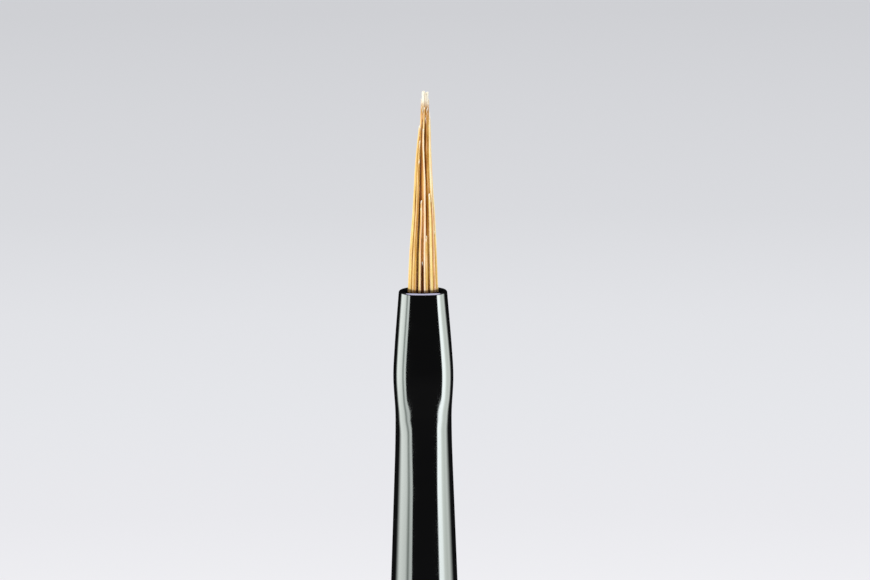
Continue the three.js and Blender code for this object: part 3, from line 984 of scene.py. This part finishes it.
def winding_rule():
    sizes = dict.fromkeys(("Turns", "Radius", "Thread Radius", "Height"), "Float")
    rule = Rule("winding", {**sizes, "Material": "Material"})
    take = rule.take
    path = {
        "Resolution": TURN_STEPS, "Rotations": take("Turns"), "Start Radius": take("Radius"),
        "End Radius": take("Radius"), "Height": take("Height"),
    }
    spiral = rule.add("GeometryNodeCurveSpiral", inputs=path)
    thread = rule.sweep(spiral, THREAD_SIDES, take("Thread Radius"))
    start = rule.vector(Z=(mouth_z - THREAD_MIDDLE_DEPTH) * MM - take("Height") / 2)
    return rule.finish(rule.add("GeometryNodeSetPosition", inputs={"Geometry": thread, "Offset": start}))


def thread_finish():
    paint = Finish("binding_thread")
    fibres = paint.noise(24, stretch=(1, 1, 4), detail=3)
    soaked = paint.noise(1.4, detail=2)
    tone = paint.mix(paint.between(soaked, 0.5, 0.75) * 0.5, paint.ramp(fibres, COTTON), SOAKED_COTTON)
    return paint.principled(base_color=tone, roughness=0.82, normal=paint.bump(fibres, FIBRE_RELIEF))


winding_height = THREAD_DIAMETER * (THREAD_TURNS - 1)
winding = {
    "Turns": THREAD_TURNS - 1,
    "Radius": (THREAD_INNER_RADIUS + THREAD_DIAMETER / 2) * MM,
    "Thread Radius": THREAD_DIAMETER * THREAD_GIRTH * MM,
    "Height": winding_height * MM,
    "Material": thread_finish(),
}
root_winding = grow("root_winding", winding_rule(), [(0, 0, 0)], winding)
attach(root_winding, "root")
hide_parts("root_thread")

# %% [markdown]
# The root is cast in resin, and a film of adhesive holds the handle. The CAD already has the shape
# of both castings, so they keep its meshes and get their finish: amber resin, streaked with darker
# clouds, and a cloudy, bubbly glue.

# %% Resin and adhesive
RESIN = [(0.3, (84, 44, 16)), (0.7, (140, 84, 34))]
RESIN_ROUGHNESS = (0.12, 0.3)
ADHESIVE = [(0.3, (186, 152, 92)), (0.7, (214, 184, 124))]
CASTING_RELIEF = 0.02


def resin_finish():
    paint = Finish("amber_resin")
    clouds = paint.noise(1.6, detail=4)
    tone = paint.ramp(clouds, RESIN)
    rough = paint.between(clouds, 0.3, 0.7, *RESIN_ROUGHNESS)
    relief = paint.bump(clouds, CASTING_RELIEF)
    return paint.principled(base_color=tone, roughness=rough, ior=1.54, normal=relief)


def adhesive_finish():
    paint = Finish("cloudy_adhesive")
    clouds = paint.noise(1.1, detail=4)
    bubbles = paint.between(paint.noise(7.0, detail=1), 0.66, 0.72)
    relief = paint.bump(clouds * 0.5 - bubbles * 0.5, CASTING_RELIEF)
    return paint.principled(base_color=paint.ramp(clouds, ADHESIVE), roughness=0.45, normal=relief)


def dress(node, material):
    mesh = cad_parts[node].data
    mesh.materials.clear()
    mesh.materials.append(material)


dress("root_glue", resin_finish())
dress("handle_glue", adhesive_finish())

# %% [markdown]
# ## The floor and the sky
#
# The stage is plain: a pale floor under a pale sky, which light the brush evenly. A painted backdrop
# would match the photograph's soft gradient from one side only. So the floor is painted greyer with
# distance on every side, a painted shade for that gradient, and the camera's flat angle turns
# distance into height. Close to the brush, where the lamps light it most, the floor is painted a
# little darker, a painted shade against that light, so that it doesn't burn out.

# %% Floor and sky
FLOOR_RADIUS = 8000
FLOOR_FAR = 2000
FLOOR_CORNERS = 96
# Each is a distance from the brush and the floor's colour there, which holds painted shade: greyer
# far away, and darker near the brush where the lamps are strongest.
FLOOR_TONES = [
    (250, (216, 216, 220)), (600, (241, 241, 244)), (760, (231, 231, 235)), (880, (228, 229, 233)),
    (1020, (225, 226, 230)), (1220, (217, 218, 222)), (1850, (207, 208, 212)),
]
SKY_LIGHT = (1, 1, 1, 1)
SKY_SEEN = rgba(208, 209, 213)


def make_floor():
    paint = Finish("studio_floor")
    place = paint.millimetres((1, 1, 0))
    away = paint.add("ShaderNodeVectorMath", {"operation": "LENGTH"}, {0: place}, "Value")
    stops = [(distance / FLOOR_FAR, tone) for distance, tone in FLOOR_TONES]
    shade = paint.add("ShaderNodeBsdfDiffuse", inputs={"Color": paint.ramp(away / FLOOR_FAR, stops)})
    material = paint.surface(shade)
    bpy.ops.mesh.primitive_circle_add(vertices=FLOOR_CORNERS, radius=FLOOR_RADIUS * MM, fill_type="NGON")
    floor = bpy.context.object
    floor.name = "floor"
    floor.location.z = tail_z * MM
    floor.data.materials.append(material)


def make_sky():
    world = bpy.data.worlds.new("studio")
    bpy.context.scene.world = world
    world.use_nodes = True
    world.node_tree.nodes.clear()
    graph = Graph(world.node_tree)
    path = graph.add("ShaderNodeLightPath", output="Is Camera Ray")
    seen = path + path.out("Is Glossy Ray") + path.out("Is Transmission Ray")
    light = graph.add("ShaderNodeBackground", inputs={"Color": SKY_LIGHT, "Strength": 1.0})
    view = graph.add("ShaderNodeBackground", inputs={"Color": SKY_SEEN, "Strength": 1.0})
    sky = graph.add("ShaderNodeMixShader", inputs={0: seen.apply("MINIMUM", 1.0), 1: light, 2: view})
    graph.add("ShaderNodeOutputWorld", inputs={"Surface": sky})


make_floor()
make_sky()

# %% [markdown]
# ## Softboxes
#
# Two softboxes at the sides and one in front give the tuft its light and shade, where sun lamps
# would give hard edges. Each has a grid, as in a studio, so its light spreads by 70 degrees only
# and stays near the brush.

# %% Softboxes
SOFTBOX_SPREAD = 70
# Azimuth in degrees, height, distance, width and height of the box, and watts.
SOFTBOXES = {
    "left_softbox": (-105, 200, 520, (150, 320), 0.13),
    "right_softbox": (105, 200, 520, (150, 320), 0.13),
    "front_softbox": (-30, 420, 600, (300, 300), 0.32),
}


def area_lamp(name, size, watts):
    data = bpy.data.lights.new(name, "AREA")
    data.shape = "RECTANGLE"
    data.size, data.size_y = [s * MM for s in size]
    data.energy = watts
    lamp = bpy.data.objects.new(name, data)
    bpy.context.scene.collection.objects.link(lamp)
    return lamp


def softbox(name, azimuth, height, distance, size, watts):
    """A rectangular soft light that faces the brush from an azimuth, where 0 is the camera's side."""
    lamp = area_lamp(name, size, watts)
    lamp.data.spread = math.radians(SOFTBOX_SPREAD)
    angle = math.radians(azimuth)
    place = Vector((math.sin(angle) * distance, -math.cos(angle) * distance, height))
    lamp.rotation_euler = place.to_track_quat("Z", "Y").to_euler()
    lamp.location = place * MM


for name, numbers in SOFTBOXES.items():
    softbox(name, *numbers)
print(f"{len(SOFTBOXES)} softboxes")

# %% [markdown]
# ## What the ferrule mirrors
#
# A polished tube shows the lamps round it in a few millimetres, so its look is made by where they
# stand. Painted stripes would be wrong from every other side. Here two tall strip lamps stand
# close beside the brush and one small one above its mouth. Light linking lets each reach one piece
# alone, and only its mirroring, so the plain light on the hair and the floor stays as it is.
#
# Each strip has bands of light and dark across it, like the bars of a window. They are given by
# their azimuth round the brush, counted from the camera's side. Beside the bulge and the mouth
# they stand further back, which is why the tube's black middle is wider there.

# %% Lamps that one piece mirrors


def gloss_lamp(name, piece, place, facing, size, radiance):
    """A rectangular lamp that only one glossy piece mirrors, and its shader tree."""
    area = size[0] * MM * (size[1] * MM)
    lamp = area_lamp(name, size, radiance * math.pi * area)
    lamp.data.use_nodes = True
    lamp.data.node_tree.nodes.clear()
    turn = Vector(facing).to_track_quat("-Z", "Y").to_matrix().to_4x4()
    lamp.matrix_world = Matrix.Translation(Vector(place) * MM) @ turn
    for ray in ("camera", "diffuse", "transmission", "volume_scatter"):
        setattr(lamp, f"visible_{ray}", False)
    lit = bpy.data.collections.new(f"lit_by_{name}")
    lit.objects.link(piece)
    lamp.light_linking.receiver_collection = lit
    print(f"{name}: {size[0]:.1f} x {size[1]:.1f} mm, seen by {piece.name} alone")
    return Pattern(lamp.data.node_tree)


def shine(light, shade, strength=1.0):
    emission = light.add("ShaderNodeEmission", inputs={"Color": shade, "Strength": strength})
    light.add("ShaderNodeOutputLight", inputs={"Surface": emission})


# %% Where the bands of a strip lie
STRIP_ASIDE = 5.0
STRIP_FRONT, STRIP_BACK = -9.0, 4.0
STRIP_TOP = mouth_z + 0.25
STRIP_BOTTOM = ferrule_back_z - 0.5
STRIP_FADE = 3
STRIP_RADIANCE = 160
BLACK, WHITE = (0, 0, 0, 1), (1, 1, 1, 1)
# Pairs are depths below the mouth, between which a change takes place.
BEHIND_BULGE = (7.8, 6.4)
DOWN_CONE = (7.6, 11)
NEAR_MOUTH = (4.5, 0)
SOFT_EDGE, SHARPER_EDGE, SHARPER_DEPTHS = 13, 6, (10, 6)
BOOST_DEPTHS = (7.5, 4.5)
DIM_LEVEL, DIM_DEPTHS = 0.88, (8, 14.5)


def at_depths(light, z, depths, *levels, lower=0):
    """Goes from one level to another between two depths below the mouth."""
    start, end = depths
    return light.between(z, mouth_z - start - lower, mouth_z - end - lower, *levels)


def round_the_brush(light):
    """Azimuth in degrees and height in millimetres of a point on a lamp."""
    x, y, z = light.parts(light.add("ShaderNodeNewGeometry", output="Position"))
    return x.apply("ARCTAN2", 0 - y) * (180 / math.pi), z / MM


# %% Strip lamps


def strip_lamp(side, name, stops, edges, lower, boost):
    """A strip lamp at one side, from its bands' stops. An edge is the azimuth at which the bands
    begin or end beside the neck, and what the bulge, the cone and the mouth add to it."""
    size = (STRIP_BACK - STRIP_FRONT, STRIP_TOP - STRIP_BOTTOM)
    place = (side * STRIP_ASIDE, (STRIP_FRONT + STRIP_BACK) / 2, (STRIP_TOP + STRIP_BOTTOM) / 2)
    light = gloss_lamp(name, ferrule_tube, place, (-side, 0, 0), size, STRIP_RADIANCE)
    azimuth, z = round_the_brush(light)
    away = azimuth.apply("ABSOLUTE")
    bulge = at_depths(light, z, BEHIND_BULGE, lower=lower)
    cone = at_depths(light, z, DOWN_CONE)
    mouth = at_depths(light, z, NEAR_MOUTH)
    inner, outer = [e[0] + e[1] * bulge + e[2] * cone + e[3] * mouth for e in edges]
    bands = light.ramp((away - inner) / (outer - inner), stops)
    softness = SOFT_EDGE - SHARPER_EDGE * at_depths(light, z, SHARPER_DEPTHS)
    past = light.between(away - outer, 0 - softness, softness)
    below = light.between(z, STRIP_BOTTOM + STRIP_FADE, STRIP_BOTTOM)
    level = at_depths(light, z, BOOST_DEPTHS, 1.0, boost) * at_depths(light, z, DIM_DEPTHS, 1.0, DIM_LEVEL)
    shine(light, light.mix(past.apply("MAXIMUM", below), bands, BLACK), level)


RIGHT_BANDS = [
    (0.0, (0, 0, 0)), (0.067, (244, 253, 252)), (0.29, (238, 247, 245)), (0.425, (198, 206, 200)),
    (0.62, (183, 191, 185)), (0.8, (192, 199, 194)), (1.0, (182, 189, 184)),
]
LEFT_BANDS = [
    (0.0, (0, 0, 0)), (0.044, (180, 187, 183)), (0.155, (173, 180, 176)), (0.255, (105, 113, 108)),
    (0.41, (194, 201, 196)), (0.62, (205, 212, 207)), (0.85, (213, 220, 215)), (1.0, (200, 207, 202)),
]
RIGHT_EDGES = ((50.2, 16.5, -3.8, -5.5), (97.5, 16, -1, -9))
LEFT_EDGES = ((43.7, 17.6, -5.3, -5), (96, 13, -2, 0))

strip_lamp(1, "right_strip", RIGHT_BANDS, RIGHT_EDGES, lower=-0.08, boost=1.0)
strip_lamp(-1, "left_strip", LEFT_BANDS, LEFT_EDGES, lower=0.17, boost=1.15)

# %% [markdown]
# The small lamp above the mouth draws the thin pale line on the front of the rolled lip.

# %% The lamp above the mouth
MOUTH_LAMP_PLACE = (0.6, -2.0, mouth_z + 1.6)
MOUTH_LAMP_SIZE = (10, 3.4)
MOUTH_LAMP_RADIANCE = 105
MOUTH_LAMP_COLOUR = rgba(228, 226, 255)

mouth_light = gloss_lamp(
    "mouth_lamp", ferrule_tube, MOUTH_LAMP_PLACE, (0, 0, -1), MOUTH_LAMP_SIZE, MOUTH_LAMP_RADIANCE
)
shine(mouth_light, MOUTH_LAMP_COLOUR)

# %% [markdown]
# The handle gets three lamps of the same kind round it, so that from any side a long highlight runs
# down the lacquer and shows its swell. They are brightest in the middle, as a softbox is, and wide:
# narrow bright ones would draw hard lines on the handle's rim.

# %% Handle lamps
LAMP_DISTANCE = 26
LAMP_HALF_ANGLE = 22
LAMP_INSET, LAMP_ABOVE, LAMP_FADE = 0.5, 6, 30
# Azimuth in degrees and radiance.
HANDLE_LAMPS = {"key_highlight": (-50, 3), "rim_highlight": (65, 2), "back_highlight": (180, 2)}


def handle_lamp(name, azimuth, radiance):
    turn = math.radians(azimuth)
    out = Vector((math.sin(turn), -math.cos(turn), 0))
    bottom, top = tail_z + LAMP_INSET, ferrule_back_z + LAMP_ABOVE
    place = out * LAMP_DISTANCE + Vector((0, 0, (bottom + top) / 2))
    width = 2 * LAMP_DISTANCE * math.tan(math.radians(LAMP_HALF_ANGLE))
    light = gloss_lamp(name, handle_wood, place, -out, (width, top - bottom), radiance)
    spot = light.add("ShaderNodeNewGeometry", output="Position")
    sideways = {0: spot, 1: (out.y, -out.x, 0)}
    across = light.add("ShaderNodeVectorMath", {"operation": "DOT_PRODUCT"}, sideways, "Value") / MM
    fade = light.between(across.apply("ABSOLUTE"), width / 2, width / 8)
    height = light.parts(spot)[2] / MM
    fade = fade * light.between(height, bottom, bottom + LAMP_FADE)
    shine(light, light.mix(fade, BLACK, WHITE))


for name, (azimuth, radiance) in HANDLE_LAMPS.items():
    handle_lamp(name, azimuth, radiance)

# %% [markdown]
# ## Colour management
#
# The Standard view renders a colour as it is written.

bpy.context.scene.view_settings.view_transform = "Standard"
